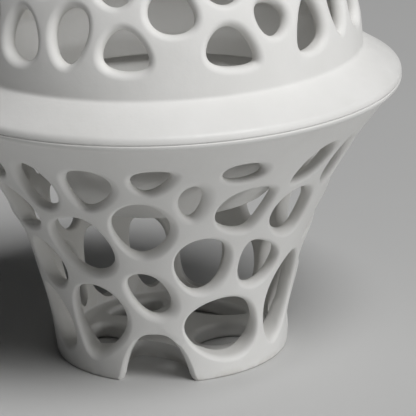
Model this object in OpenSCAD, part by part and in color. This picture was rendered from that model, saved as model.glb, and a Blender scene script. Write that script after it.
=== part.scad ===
// Openwork sake cup: a pierced flared holder, a plain inner cup hung in its mouth and a pierced domed lid.
// Millimetres, +Z up, standing on Z = 0, the side seen in the photo facing -Y.

/* [Holder] */
// Diameter of the holder at the table
foot_d = 34.6; // [32:0.2:37]
// Height of the holder's lip above the table
holder_h = 41.5; // [39:0.5:44]
// Diameter of the rounded lip, the widest part of the holder
lip_d = 70; // [67:0.5:73]
// Radius of the arc that the wall flares along
flare_r = 70; // [64:1:80]
// Thickness of the pierced wall
wall_t = 3; // [2.6:0.1:3.4]
// Thickness of the pierced floor inside the foot
floor_t = 2.6; // [2:0.2:3.2]
// Width of the ribs between the cells of the floor
floor_rib = 2.4; // [2:0.2:3]
// Height of the plain band under the cells
foot_band = 2; // [1.6:0.2:2.4]
// Height of the plain band over the cells
neck_band = 3; // [2.6:0.2:3.6]

/* [Cells] */
// Width of the ribs between the cells at the outer face
rib_w = 0.7; // [0.6:0.1:1.2]
// How far each cell narrows from the outer face to its straight part
lip_flare = 0.7; // [0.4:0.1:0.9]
// Depth of the flared part of a cell
flare_depth = 1.2; // [0.8:0.1:1.6]
// Points on each rounded corner of a cell
corner_steps = 3; // [2:1:4]

/* [Inner cup] */
// Height of the inner cup, from its underside to the top of its flange
cup_h = 16.8; // [15.6:0.2:17.6]
// Gap between the inner cup and the holder's wall at the cup's neck
neck_gap = 0.9; // [0.7:0.1:1.3]
// Gap between the inner cup and the holder's wall at the cup's underside
base_gap = 4.5; // [4:0.25:6]
// Thickness of the inner cup's wall
cup_t = 2; // [1.6:0.1:2.2]
// Thickness of the inner cup's flange
flange_t = 1.6; // [1.4:0.1:1.8]
// Width of the ledge that carries the flange
ledge_w = 1.6; // [1.4:0.1:2]

/* [Lid] */
// Width of the brim outside the dome
brim_w = 5.6; // [5:0.1:6.2]
// Height of the crease where the dome meets the brim, above the holder's lip
crease_h = 4.5; // [4.1:0.1:4.9]
// Thickness of the pierced dome
dome_t = 3; // [2.6:0.1:3.4]
// Height of the brim's outer edge above the lip
brim_edge = 1; // [0.8:0.1:1.2]
// Depth of the locating ring under the brim
ring_h = 3; // [2.4:0.2:3.6]
// Thickness of the locating ring
ring_t = 1.6; // [1.4:0.1:2]
// Elevation on the sphere, in degrees, where the dome's cells start
dome_band = 4.5; // [4:0.5:6]

/* [Fits] */
// Gap round the inner cup's flange and round the lid's ring
fit_gap = 0.35; // [0.3:0.05:0.5]
// Gap between the top of the flange and the lid
lid_gap = 0.2; // [0.1:0.05:0.3]

/* [Hidden] */
$fn = 96;
eps = 0.01;
// Cone bands that stand in for the flare arc, under 0.02 mm off it
bands = 14;
foot_r = foot_d / 2;
lip_r = lip_d / 2;
lip_round = 0.6;
// The flare arc runs from the foot to the neck, just under the lip.
neck_r = lip_r - lip_round * 2;
neck_z = holder_h - lip_round * 2.5;
chord = norm([neck_r - foot_r, neck_z]);
sag = sqrt(pow(flare_r, 2) - pow(chord / 2, 2));
arc_x = (foot_r + neck_r) / 2 + sag * neck_z / chord;
arc_z = neck_z / 2 - sag * (neck_r - foot_r) / chord;
// Angle about the arc's centre and the conformal height that belongs to it
arc_q = sqrt(pow(arc_x, 2) - pow(flare_r, 2));
arc_k = sqrt((arc_x + flare_r) / (arc_x - flare_r));
function turn_at(z) = asin((z - arc_z) / flare_r);
function rise_at(t) = 2 * flare_r / arc_q * atan(arc_k * tan(t / 2));
function turn_of(w) = 2 * atan(tan(w * arc_q / (2 * flare_r)) / arc_k);
function wall_r(z) = arc_x - flare_r * cos(turn_at(z));
function wall_pt(a, t, d) = let (r = arc_x - (flare_r + d) * cos(t))
    [r * sin(a), -r * cos(a), arc_z + (flare_r + d) * sin(t)];

// Inner face of the holder at a height
function inner_r(z) = arc_x - sqrt(pow(flare_r + wall_t, 2) - pow(z - arc_z, 2));

// Seats and clearances that follow from the holder
ledge_z = holder_h - lid_gap - flange_t;
seat_r = inner_r(ledge_z) + ledge_w;
flange_r = seat_r - fit_gap;
// The cup's wall keeps one slope from its base to just under the lid's ring.
cup_edge = 1;
cup_base_z = holder_h - lid_gap - cup_h;
cup_base_r = inner_r(cup_base_z) - base_gap;
cup_neck_z = holder_h - ring_h - lid_gap;
cup_neck_r = inner_r(cup_neck_z) - neck_gap;
cup_rise = cup_neck_z - cup_base_z - cup_edge;
cup_side = cup_t / cos(atan((cup_neck_r - cup_base_r) / cup_rise));
mouth_r = cup_neck_r - cup_side;
function well_r(z) = mouth_r - (cup_neck_r - cup_base_r) * (cup_neck_z - z) / cup_rise;
well_z = cup_base_z + cup_t;
// Lid
ring_r = mouth_r - fit_gap;
brim_z = holder_h + brim_edge;
brim_bevel = 0.8;
brim_round = 0.4;
// The dome's centre stands over the crease, so its foot turns in where it meets the brim.
dome_r = lip_r - brim_w;
crease_z = holder_h + crease_h;
turn_in = 0.8;
dome_z = crease_z + turn_in;
crease_r = sqrt(pow(dome_r, 2) - pow(turn_in, 2)) - brim_round / 2;
hollow_r = sqrt(pow(dome_r - dome_t, 2) - pow(turn_in, 2)) - brim_round / 4;

// The arched cell is cut open by the table plane, and the first cell of the floor goes on from it.
arch_w = 12.4;
arch_half = arch_w / 2 - lip_flare - 0.3;
// Circle that the other cells of the floor keep inside
floor_edge = foot_r - wall_t - 2;

// The lists of cells are written for a holder, dome and foot of these sizes, and scale with the real ones.
list_h = 41.5;
list_r = 29.4;
list_foot = 17.3;
cell_k = holder_h / list_h;
dome_k = dome_r / list_r;
floor_k = foot_r / list_foot;
// How far a cell's cutter stands out of the wall on either side
cut_out = 0.8;

// Cells of the holder: azimuth from the front in degrees, height in mm and growth in mm
HOLDER_CELLS = [
    // Cells that the photo shows, from the foot up
    [-8, 0.5, 2], [25, 8.4, 1.2], [-32, 10.6, 1], [-66, 8.5, -0.2], [59, 11, 0.2],
    [-8, 14.8, -0.2], [13.6, 19, 1], [36, 17.8, 0], [-32, 22.5, 1], [-58, 17.5, 0],
    [-9.5, 26.2, 1], [24, 29, 0.3], [48, 25.6, 0.5], [79.5, 22.5, -0.2], [-60, 27, -0.2],
    [8, 31, -0.9], [-23, 33.4, 0.6], [-41, 32, 0.4], [-4, 35.2, -0.8], [24, 35.6, 0],
    [48, 34.6, 0.2], [63, 32, 0.2], [-59, 34.5, 0.2],
    // Cells round the back, in the same manner, with three large ones where the photo looks right through
    [88, 8.5, 0], [112, 10, 0], [138, 8.5, 0], [162, 8.3, 1.8],
    [-170, 9.5, 1.2], [-142, 9.2, 1.6], [-117, 10, 0], [-92, 8.5, 0],
    [86, 16, 0.2], [107, 18.5, 0.4], [131, 17.5, 0.2], [157, 19, 0],
    [-176, 18.5, 0.2], [-150, 18.5, 0.4], [-125, 18, 0.2], [-102, 19, 0.4], [-80, 19, 0.2],
    [80, 28, 0.2], [99, 27, 0.4], [121, 26.5, 0.2], [143, 27.5, 0.4], [166, 26.5, 0.2],
    [-171, 27.5, -0.6], [-147, 26.5, 0.2], [-123, 27.5, 0], [-101, 27, 0.2], [-80, 27.5, 0.4],
    [76, 35.5, 0], [91, 34.5, 0.2], [110, 35.5, 0], [129, 35, 0.2], [150, 35.5, 0], [170, 35, 0.2],
    [-170, 35.5, 0], [-150, 35, 0.2], [-130, 35.5, 0], [-111, 35, 0.2], [-93, 35.5, 0], [-76, 35, 0.2]
];

// Spots of the wall that stay plain, placed in the same way: the cells round them keep off
PLAIN_SPOTS = [[-8, 18.4, -5.4], [-8, 11, -7.8], [10, 36.5, -3.5], [36.5, 36, -1], [65, 24.5, -2.5]];

// Cells of the floor: x, y and growth in mm, with a plain spot in the middle
FLOOR_CELLS = [[-3.2, -12.6, 2], [6.7, -5.4, 0.5], [-9.2, -3.2, 0.3], [6.4, 8, -0.6], [-5.2, 8.4, -0.4]];
FLOOR_SPOTS = [[-1.2, 0.4, -0.6]];

// Cells of the dome: azimuth from the front, elevation on the sphere in degrees and growth in mm
DOME_CELLS = [
    [-11, 12.5, 0], [4, 22, 0.8], [20, 13, 0], [34, 17.5, 0], [48, 13.5, 0], [62, 18, 0],
    [-26, 18.5, 0.3], [-43, 14, 0], [-58, 18, 0], [-73, 13.5, 0.2], [-88, 19, 0.2], [-104, 14, 0],
    [-119, 19, 0.2], [-135, 13.5, 0], [-150, 18.5, 0.2], [-166, 14, 0], [179, 19, 0.2], [164, 13.5, 0],
    [149, 18.5, 0.2], [133, 14, 0], [118, 19, 0.2], [103, 13.5, 0], [89, 18.5, 0.2], [75, 13, 0],
    [-14, 30, 0], [18, 28, 0], [39, 31, 0.2], [61, 32, 0.2], [84, 33, 0.2], [105, 33, 0.2],
    [127, 33, 0.2], [150, 33, 0.2], [172, 33, 0.2], [-165, 33, 0.2], [-143, 33, 0.2], [-121, 33, 0.2],
    [-99, 33, 0.2], [-78, 33, 0.2], [-56, 32, 0.2], [-35, 32, 0.2],
    [0, 40, 0], [22, 44, 0], [48, 46, 0], [76, 47, 0], [104, 47, 0], [132, 47, 0], [160, 47, 0],
    [-172, 47, 0], [-144, 47, 0], [-116, 47, 0], [-88, 47, 0], [-60, 46, 0], [-30, 46, 0],
    [-6, 58, 0.2], [36, 61, 0.2], [83, 62, 0.2], [128, 62, 0.2], [174, 62, 0.2],
    [-140, 62, 0.2], [-94, 62, 0.2], [-48, 61, 0.2],
    [10, 76, 0.2], [100, 76, 0.2], [-170, 76, 0.2], [-80, 76, 0.2]
];

// Spots of the dome that stay plain
DOME_SPOTS = [[5, 13, -2.9], [35, 10.5, -4.3]];

// Part of a polygon on the near side of the line a*x + b*y = c
function cut_poly(p, a, b, c) = [
    for (i = [0:len(p) - 1])
        let (u = p[i], v = p[(i + 1) % len(p)], fu = a * u.x + b * u.y - c, fv = a * v.x + b * v.y - c)
        each concat(fu <= 0 ? [u] : [], (fu < 0) != (fv < 0) ? [u + (v - u) * fu / (fu - fv)] : [])
];
function cut_all(p, lines, i = 0) =
    i == len(lines) || len(p) < 3 ? p
    : cut_all(cut_poly(p, lines[i][0], lines[i][1], lines[i][2]), lines, i + 1);

// Smooth closed cubic outline that keeps inside a polygon and rounds its corners
function rounded(p, n) = let (m = len(p)) [
    for (i = [0:m - 1], j = [0:n - 1])
        let (s = j / n, a = p[i], b = p[(i + 1) % m], c = p[(i + 2) % m], d = p[(i + 3) % m])
        (a * pow(1 - s, 3) + b * (3 * pow(s, 3) - 6 * pow(s, 2) + 4)
            + c * (1 + 3 * s + 3 * pow(s, 2) - 3 * pow(s, 3)) + d * pow(s, 3)) / 6
];
function middle(p) = [for (q = p) 1] * p / len(p);
function grown(p, by) = let (m = middle(p)) [for (q = p) q + (q - m) / norm(q - m) * by];
function wrap(a) = a - 360 * floor((a + 180) / 360);
START = [[-1, -1], [1, -1], [1, 1], [-1, 1]] * lip_r / 2;

// Lines halfway to the neighbours of one holder cell, in mm about its own middle
function holder_lines(c) =
    let (z = c[1] * cell_k, w = rise_at(turn_at(z)), r = wall_r(z), k = r * PI / 180)
    concat(
        z < foot_band ? [[-1, 0, arch_w / 2], [1, 0, arch_w / 2], [0, -1, arch_w]]
            : [[0, -1, (w - rise_at(turn_at(foot_band))) * k]],
        [[0, 1, (rise_at(turn_at(neck_z - neck_band)) - w) * k]],
        [for (o = concat(HOLDER_CELLS, PLAIN_SPOTS))
            let (d = [wrap(o[0] - c[0]), rise_at(turn_at(o[1] * cell_k)) - w] * k, l = norm(d))
            if (l > 0 && l < lip_r) [d.x / l, d.y / l, (l + (c[2] - o[2]) * cell_k - rib_w) / 2]]
    );
function holder_outline(c) = rounded(cut_all(START, holder_lines(c)), corner_steps);
function holder_ring(c, p, d) =
    let (z = c[1] * cell_k, w = rise_at(turn_at(z)), k = wall_r(z) * PI / 180)
    [for (q = p) wall_pt(c[0] + q.x / k, turn_of(w + q.y / k), d)];

// The same for a cell of the floor: the first is open towards the arch, the others keep inside the edge
function floor_spot(c) = [c[0], c[1]] * floor_k;
function floor_lines(c) =
    let (m = floor_spot(c), arch_x = foot_r * sin(HOLDER_CELLS[0][0]))
    concat(
        c == FLOOR_CELLS[0]
            ? [[-1, 0, m.x - arch_x + arch_half], [1, 0, arch_x - m.x + arch_half],
                [0, -1, m.y + foot_r - wall_t / 2]]
            : [for (a = [0:45:315]) [sin(a), cos(a), floor_edge - m * [sin(a), cos(a)]]],
        [for (o = concat(FLOOR_CELLS, FLOOR_SPOTS))
            let (d = floor_spot(o) - m, l = norm(d))
            if (l > 0) [d.x / l, d.y / l, (l + (c[2] - o[2]) * floor_k - floor_rib) / 2]]
    );
function floor_outline(c) = rounded(cut_all(START, floor_lines(c)), corner_steps);

// The same for a dome cell, on the plane that touches the sphere at the cell's middle
function sphere_dir(a, e) = [cos(e) * sin(a), -cos(e) * cos(a), sin(e)];
function east_of(a) = [cos(a), sin(a), 0];
function north_of(a, e) = [-sin(e) * sin(a), sin(e) * cos(a), cos(e)];
function dome_lines(c) =
    let (s = sphere_dir(c[0], c[1]), u = east_of(c[0]), n = north_of(c[0], c[1]))
    concat(
        [[0, -1, dome_r * (c[1] - dome_band) * PI / 180]],
        [for (o = concat(DOME_CELLS, DOME_SPOTS))
            let (q = sphere_dir(o[0], o[1]), f = [u * q, n * q], l = norm(f), g = 1 - s * q)
            if (l > 0.001 && s * q > 0.3)
                [f.x / l, f.y / l, g / l * dome_r + ((c[2] - o[2]) * dome_k - rib_w) / 2]]
    );
function dome_outline(c) = rounded(cut_all(START, dome_lines(c)), corner_steps);
function dome_ring(c, p, d) =
    let (s = sphere_dir(c[0], c[1]), u = east_of(c[0]), n = north_of(c[0], c[1]))
    [for (q = p) let (v = s * dome_r + u * q.x + n * q.y) [0, 0, dome_z] + v / norm(v) * (dome_r - d)];

// Closed skin through rings of equal length, capped at both ends by a fan
module loft(rings) {
    n = len(rings[0]);
    m = len(rings);
    caps = [middle(rings[0]), middle(rings[m - 1])];
    polyhedron(
        points = concat([for (r = rings) each r], caps),
        faces = concat(
            [for (k = [0:m - 2], i = [0:n - 1]) let (j = (i + 1) % n)
                each [[k * n + i, k * n + j, k * n + n + i], [k * n + j, k * n + n + j, k * n + n + i]]],
            [for (i = [0:n - 1]) [m * n, (i + 1) % n, i]],
            [for (i = [0:n - 1]) [m * n + 1, (m - 1) * n + i, (m - 1) * n + (i + 1) % n]]
        )
    );
}

// One cell of the holder, flared towards the outside
module holder_cell(c) {
    p = holder_outline(c);
    straight = grown(p, -lip_flare);
    depth = wall_t + cut_out;
    // The arch keeps its width through the wall, the others narrow towards the axis.
    keep = c[1] * cell_k < foot_band ? foot_r / (foot_r - depth) : 1;
    loft([
        holder_ring(c, p, -cut_out),
        holder_ring(c, straight, flare_depth),
        holder_ring(c, [for (q = straight) [q.x * keep, q.y]], depth)
    ]);
}

// One cell of the floor, straight down through it
module floor_cell(c) {
    translate([each floor_spot(c), -cut_out])
        linear_extrude(height = floor_t + cut_out + 0.4)
            polygon(floor_outline(c));
}

// One cell of the dome, flared towards the outside
module dome_cell(c) {
    p = dome_outline(c);
    loft([
        dome_ring(c, p, -cut_out),
        dome_ring(c, grown(p, -lip_flare), flare_depth),
        dome_ring(c, grown(p, -lip_flare), dome_t + cut_out)
    ]);
}

// Half section of the holder before its cells are cut
module holder_section() {
    polygon(concat(
        [[0, 0]],
        [for (i = [0:bands]) let (z = neck_z * i / bands) [wall_r(z), z]],
        [[lip_r - lip_round, neck_z], [lip_r - lip_round, holder_h], [seat_r, holder_h], [seat_r, ledge_z]],
        [for (i = [bands:-1:0]) let (z = floor_t + (ledge_z - floor_t) * i / bands) [inner_r(z), z]],
        [[0, floor_t]]
    ));
    translate([lip_r - lip_round, holder_h - lip_round * 1.25]) circle(r = lip_round);
}

module holder() {
    color("white")
        difference() {
            rotate_extrude() holder_section();
            for (c = HOLDER_CELLS) holder_cell(c);
            for (c = FLOOR_CELLS) floor_cell(c);
        }
}

// Half section of the inner cup
module inner_cup_section() {
    difference() {
        union() {
            polygon([
                [0, cup_base_z],
                [cup_base_r - cup_edge, cup_base_z],
                [cup_base_r, cup_base_z + cup_edge],
                [cup_neck_r, cup_neck_z],
                [cup_neck_r, ledge_z + flange_t],
                [0, ledge_z + flange_t]
            ]);
            translate([0, ledge_z]) square([flange_r, flange_t]);
        }
        polygon([
            [0, well_z],
            [well_r(well_z + cup_edge) - cup_edge, well_z],
            [well_r(well_z + cup_edge), well_z + cup_edge],
            [mouth_r, cup_neck_z],
            [mouth_r, holder_h],
            [0, holder_h]
        ]);
    }
}

module inner_cup() {
    color("ivory")
        rotate_extrude() inner_cup_section();
}

// Half section of the lid before its cells are cut
module lid_section() {
    difference() {
        union() {
            // Dome
            intersection() {
                translate([0, dome_z]) circle(r = dome_r);
                translate([0, crease_z - 0.5]) square([dome_r + 1, dome_r * 2]);
            }
            // Brim
            polygon([
                [0, holder_h],
                [lip_r - brim_bevel, holder_h],
                [lip_r, brim_z - brim_round],
                [lip_r - brim_round, brim_z + brim_round / 2],
                [crease_r, crease_z],
                [0, crease_z]
            ]);
            // Locating ring
            translate([0, holder_h - ring_h]) square([ring_r, ring_h + eps]);
        }
        // Hollow of the dome and the way down through the brim
        intersection() {
            translate([0, dome_z]) circle(r = dome_r - dome_t);
            translate([0, crease_z]) square([dome_r, dome_r * 2]);
        }
        polygon([
            [0, holder_h - ring_h - 1],
            [ring_r - ring_t, holder_h - ring_h - 1],
            [ring_r - ring_t, holder_h],
            [hollow_r, crease_z + eps],
            [0, crease_z + eps]
        ]);
    }
}

module lid() {
    color("white")
        difference() {
            rotate_extrude() lid_section();
            for (c = DOME_CELLS) dome_cell(c);
        }
}

holder();
inner_cup();
lid();
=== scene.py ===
import math
from collections import namedtuple

import bmesh
import bpy
import numpy as np
from mathutils import Matrix, Vector


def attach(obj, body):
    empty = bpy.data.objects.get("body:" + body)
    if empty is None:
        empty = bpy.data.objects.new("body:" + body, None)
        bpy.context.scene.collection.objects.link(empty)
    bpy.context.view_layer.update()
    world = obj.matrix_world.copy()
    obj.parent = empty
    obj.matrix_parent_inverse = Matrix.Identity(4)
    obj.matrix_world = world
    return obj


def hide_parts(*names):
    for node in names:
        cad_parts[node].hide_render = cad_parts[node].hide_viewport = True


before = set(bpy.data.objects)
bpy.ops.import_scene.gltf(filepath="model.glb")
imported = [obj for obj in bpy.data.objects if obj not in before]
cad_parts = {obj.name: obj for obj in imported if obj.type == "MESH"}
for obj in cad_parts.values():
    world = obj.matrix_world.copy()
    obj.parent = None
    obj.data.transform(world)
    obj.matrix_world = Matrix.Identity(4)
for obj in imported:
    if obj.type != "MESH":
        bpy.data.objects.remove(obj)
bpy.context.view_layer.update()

# Lidded sake cup in white openwork ceramic: a pierced holder, a plain inner cup and a pierced lid

# Sizes in millimetres, the same as those of the part's solids
MM = 0.001
FOOT_R = 17.3
HOLDER_H = 41.5
LIP_R = 35.0
LIP_OVERHANG = 1.2
LIP_RISE = 1.5
FLARE_R = 70.0
WALL_T = 3.0
FLOOR_T = 2.6
FOOT_BAND = 2.0
NECK_BAND = 3.0
RIB_W = 0.7
NECK_R = LIP_R - LIP_OVERHANG
NECK_Z = HOLDER_H - LIP_RISE
LEDGE_Z = 39.7
SEAT_R = 31.27
FLANGE_R = 30.92
FLANGE_T = 1.6
FLANGE_Z = LEDGE_Z + FLANGE_T
FLOOR_RIB = 2.4
FLOOR_MARGIN = 2.0
FLOOR_EDGE = FOOT_R - WALL_T - FLOOR_MARGIN
DOME_R = 29.4
DOME_T = 3.0
CREASE_Z = 46.0
DOME_RAISE = 0.8
DOME_Z = CREASE_Z + DOME_RAISE
RING_R = 24.65
RING_T = 1.6
RING_H = 3.0
BRIM_EDGE = 1.0
BRIM_Z = HOLDER_H + BRIM_EDGE
CUP_BASE_Z = 24.5
CUP_BASE_T = 2
CUP_WELL_Z = CUP_BASE_Z + CUP_BASE_T
CUP_BASE_R = 16.0
CUP_MOUTH_R = 25.0
CUP_SIDE = 2.71
CUP_NECK_Z = 38.3
# Elevation of the dome's lowest cell edges, in degrees
DOME_BAND = 4.5

# How finely the pieces are drawn
OUTLINE_POINTS = 64
RING_POINTS = 240
CURVE_STEPS = 24
LIP_STEPS = 9
EDGE_STEPS = 6
ROUND_STEPS = 4
CUP_ROUND_STEPS = 5
BITE_STEPS = 18
# Rings inside flat faces, which keep their triangles short: of floor and base, foot and brim
MID_R = 8
FOOT_MID_R = 16
BRIM_MID_R = 30
# Points closer than this are one, in metres: in the node trees and in the finished pieces
FINE_WELD = 1e-6
WELD = 2e-6
# Edges that bend more than this are sharp
CRISP = math.radians(24)

# A rib: the flat left along its top, the lip that rolls into a cell, the round towards the inner
# face, and how much thinner than the plain wall it is
RIB_TOP = 0.18
LIP_WIDTH = 0.8
DOME_LIP_WIDTH = LIP_WIDTH + 0.35
LIP_DEPTH = 1.2
INNER_WIDTH = 0.72
INNER_DEPTH = 0.95
SLIM = 0.8
# What a cell gains on a plain band, because the rib's flat is narrower than the solid's rib
SPREAD = (RIB_W - RIB_TOP) / 2
# Between which heights the holder's ribs turn slim, and between which they turn back
SLIM_HEIGHTS = {"Slim from": 4.5, "Slim full": 8.5, "Slim to": 38, "Slim last": 35}
# The same for the dome, in degrees of elevation
DOME_SLIM = {"Slim from": 3, "Slim full": 9}
# The dome's ribs stay slim up to the crown, so these lie outside its flat disc
DOME_SLIM_END = {"Slim to": -0.5, "Slim last": -0.4}

# The cells go in a little aslant. How far they move by the inner face: (azimuth, to the right) and
# (height, down)
CELL_SLANT = ((-120, 0.0), (-60, -1.0), (10, -0.8), (45, 0.7), (75, 1.2), (130, 0.0))
CELL_DROP = ((20, 0.0), (35, 1.6))
# The lip is wider round the cells high in the flare, as (height, times the usual width), and round
# two others
LIP_GROWTH = ((26, 1.0), (33, 1.45))
BROAD_LIPS = {(-8, 14.8): 1.5, (8, 31): 2.5}
# A lip takes no more than this share of the tightest bend's radius
LIP_SHARE = 0.85
# The round at the inner face starts this far above the floor, and opens over so many millimetres
ROOM_START = 0.8
ROOM_OVER = 1.5

# How often the outlines are eased: of the holder's cells, one rounder cell, the dome's and the floor's
HOLDER_EASING = 16
ROUND_CELLS = {(8, 31): 120}
DOME_EASING = 40
FLOOR_EASING = 8
# Half the square that each outline is cut from, and how far off a neighbour may be: in millimetres
# on the holder, and as the cosine of the angle between them on the dome
CELL_REACH = 16
NEIGHBOUR_REACH = 30
DOME_NEIGHBOUR = 0.3
# Less than this counts as no distance or no bend
NOTHING = 1e-6

# Cells of the holder: azimuth from the front in degrees, height and growth in millimetres
ARCH_CELL = (-8, 0.5, 2)
HOLDER_CELLS = [
    (25, 8.4, 1.2), (-32, 10.6, 1), (-66, 8.5, -0.2), (59, 11, 0.2),
    (-8, 14.8, -0.2), (13.6, 19, 1), (36, 17.8, 0), (-32, 22.5, 1), (-58, 17.5, 0),
    (-9.5, 26.2, 1), (24, 29, 0.3), (48, 25.6, 0.5), (79.5, 22.5, -0.2), (-60, 27, -0.2),
    (8, 31, -0.9), (-23, 33.4, 0.6), (-41, 32, 0.4), (-4, 35.2, -0.8), (24, 35.6, 0),
    (48, 34.6, 0.2), (63, 32, 0.2), (-59, 34.5, 0.2),
    (88, 8.5, 0), (112, 10, 0), (138, 8.5, 0), (162, 8.3, 1.8),
    (-170, 9.5, 1.2), (-142, 9.2, 1.6), (-117, 10, 0), (-92, 8.5, 0),
    (86, 16, 0.2), (107, 18.5, 0.4), (131, 17.5, 0.2), (157, 19, 0),
    (-176, 18.5, 0.2), (-150, 18.5, 0.4), (-125, 18, 0.2), (-102, 19, 0.4), (-80, 19, 0.2),
    (80, 28, 0.2), (99, 27, 0.4), (121, 26.5, 0.2), (143, 27.5, 0.4), (166, 26.5, 0.2),
    (-171, 27.5, -0.6), (-147, 26.5, 0.2), (-123, 27.5, 0), (-101, 27, 0.2), (-80, 27.5, 0.4),
    (76, 35.5, 0), (91, 34.5, 0.2), (110, 35.5, 0), (129, 35, 0.2), (150, 35.5, 0), (170, 35, 0.2),
    (-170, 35.5, 0), (-150, 35, 0.2), (-130, 35.5, 0), (-111, 35, 0.2), (-93, 35.5, 0), (-76, 35, 0.2),
]
# Spots of the wall that stay plain: the cells round them keep off
PLAIN_SPOTS = [(-8, 18.4, -5.4), (-8, 11, -7.8), (10, 36.5, -3.5), (36.5, 36, -1), (65, 24.5, -2.5)]

# Cells of the floor: x, y and growth in millimetres, the first one going on from the arch
BITE_CELL = (-3.2, -12.6, 2)
FLOOR_CELLS = [(6.7, -5.4, 0.5), (-9.2, -3.2, 0.3), (6.4, 8, -0.6), (-5.2, 8.4, -0.4)]
FLOOR_SPOT = (-1.2, 0.4, -0.6)
# Sides of the outline that the floor's cells stay inside
FLOOR_SIDES = 8

# Cells of the dome: azimuth from the front and elevation in degrees, growth in millimetres
DOME_CELLS = [
    (-11, 12.5, 0), (4, 22, 0.8), (20, 13, 0), (34, 17.5, 0), (48, 13.5, 0), (62, 18, 0),
    (-26, 18.5, 0.3), (-43, 14, 0), (-58, 18, 0), (-73, 13.5, 0.2), (-88, 19, 0.2), (-104, 14, 0),
    (-119, 19, 0.2), (-135, 13.5, 0), (-150, 18.5, 0.2), (-166, 14, 0), (179, 19, 0.2), (164, 13.5, 0),
    (149, 18.5, 0.2), (133, 14, 0), (118, 19, 0.2), (103, 13.5, 0), (89, 18.5, 0.2), (75, 13, 0),
    (-14, 30, 0), (18, 28, 0), (39, 31, 0.2), (61, 32, 0.2), (84, 33, 0.2), (105, 33, 0.2),
    (127, 33, 0.2), (150, 33, 0.2), (172, 33, 0.2), (-165, 33, 0.2), (-143, 33, 0.2), (-121, 33, 0.2),
    (-99, 33, 0.2), (-78, 33, 0.2), (-56, 32, 0.2), (-35, 32, 0.2),
    (0, 40, 0), (22, 44, 0), (48, 46, 0), (76, 47, 0), (104, 47, 0), (132, 47, 0), (160, 47, 0),
    (-172, 47, 0), (-144, 47, 0), (-116, 47, 0), (-88, 47, 0), (-60, 46, 0), (-30, 46, 0),
    (-6, 58, 0.2), (36, 61, 0.2), (83, 62, 0.2), (128, 62, 0.2), (174, 62, 0.2),
    (-140, 62, 0.2), (-94, 62, 0.2), (-48, 61, 0.2),
    (10, 76, 0.2), (100, 76, 0.2), (-170, 76, 0.2), (-80, 76, 0.2),
]
DOME_SPOTS = [(5, 13, -2.9), (35, 10.5, -4.3)]

# The arched opening at the foot: half its width at the table, how fast its sides lean in, its height
# above the table and its depth below, how square its top is, how far its feet spread, and over which
# height they do
ARCH_HALF = 6.0
ARCH_LEAN = 0.26
ARCH_TOP = 8.3
ARCH_BELOW = 4.0
ARCH_SQUARE = 2.9
ARCH_SPREAD = 0.3
ARCH_FEET = 1.0
# The round of its outer edge, across and into the wall
ARCH_EDGE_WIDTH = 0.7
ARCH_EDGE_DEPTH = 1.2
# Its cutter starts at these depths outside the wall, wider by so many millimetres
ARCH_OUTSIDE = (-4.0, -0.5)
ARCH_WIDER = 0.9
# The floor cell that goes on from it: how far it goes in, how far and how late it turns aside, and how
# square its end is
BITE_DEPTH = 10.2
BITE_LEAN = -2.2
BITE_LATE = 1.5
BITE_SQUARE = 2.6
# The round of the other floor cells' edges, and how far their cutters stand out of the floor
FLOOR_ROUND = 0.75
FLOOR_PROUD = 0.5

# Where the turned parts take over from the pierced walls
FOOT_EASE = 0.5
FLOOR_EASE = 0.35
MOUTH_EASE = 0.6
DOME_START = math.radians(1.5)
# Elevations between there and the crease at which the brim's section follows the dome
DOME_FOOT = (math.radians(0.4), math.radians(-0.6))

# The ceramic's noises, as (scale, detail, roughness)
GRAIN = (3200.0, 3.0, 0.65)
MARKS = (420.0, 2.0, 0.5)
CLOUDS = (70.0, 4.0, 0.6)
# Its colours: the clouded body, the painted shade that turns the ceramic darker and warmer deeper into
# the cells and on the inner face, and the tint at the scuffed foot
BODY_COLOURS = [(0.3, (0.79, 0.785, 0.765)), (0.7, (0.835, 0.83, 0.815))]
PAINTED_CELL_SHADE = (0.955, 0.95, 0.935)
SCUFF_TINT = (0.86, 0.85, 0.83)
# Its roughness along the marks, what the cells add to it and what the polished rim takes off
ROUGHNESS = (0.3, 0.7, 0.5, 0.64)
CELL_DULL = 0.07
RIM_POLISH = 0.14
GLOSS = 0.4
# How it fades, as (from, to, value at from, value at to): the rim's polish with the distance from its
# height and with the radius, and the foot's scuffs with the height and along the marks
RIM_FADE = (0.3 * MM, 1.6 * MM, 1.0, 0.0)
RIM_REACH = ((LIP_R - 1.2) * MM, (LIP_R - 0.2) * MM, 0.0, 1.0)
SCUFF_FADE = (0.1 * MM, 1.2 * MM, 1.0, 0.0)
SCUFF_MARKS = (0.42, 0.6, 0.0, 1.0)
# Its bumps, as (strength, height)
GRAIN_BUMP = (0.35, 0.04 * MM)
MARK_BUMP = (0.4, 0.12 * MM)

# The table: half its side in metres, its faint clouds and its colours
TABLE_HALF = 2
TABLE_CLOUDS = (9.0, 3.0, 0.5)
TABLE_COLOURS = [(0.3, (0.59, 0.59, 0.585)), (0.7, (0.61, 0.61, 0.605))]

# The camera: lens and sensor, turn, drop and roll in degrees, the point it looks at and its distance
VIEW_LENS = 240.22
VIEW_SENSOR = 36
VIEW_NEAR = 0.01
VIEW_TURN, VIEW_DROP, VIEW_ROLL = (math.radians(angle) for angle in (0.86, 18.449, 1.944))
VIEW_AIM = Vector((5.7676, -20.0, 27.4941)) * MM
VIEW_DISTANCE = 391.82 * MM

# Soft boxes: direction from the point they face, distance from it in metres, width, height and power
# in watts. The studio round them is dim.
SOFT_BOXES = {
    "high_right": ((0.33, -0.39, 0.86), 1.6, 0.8, 0.8, 20.0),
    "low_right": ((0.82, -0.56, 0.07), 1.4, 0.7, 0.4, 5.6),
}
LAMP_AIM = Vector((0, 0, 0.04))
STUDIO_COLOUR = (0.8, 0.85, 0.9, 1)
STUDIO_STRENGTH = 0.015

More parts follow.
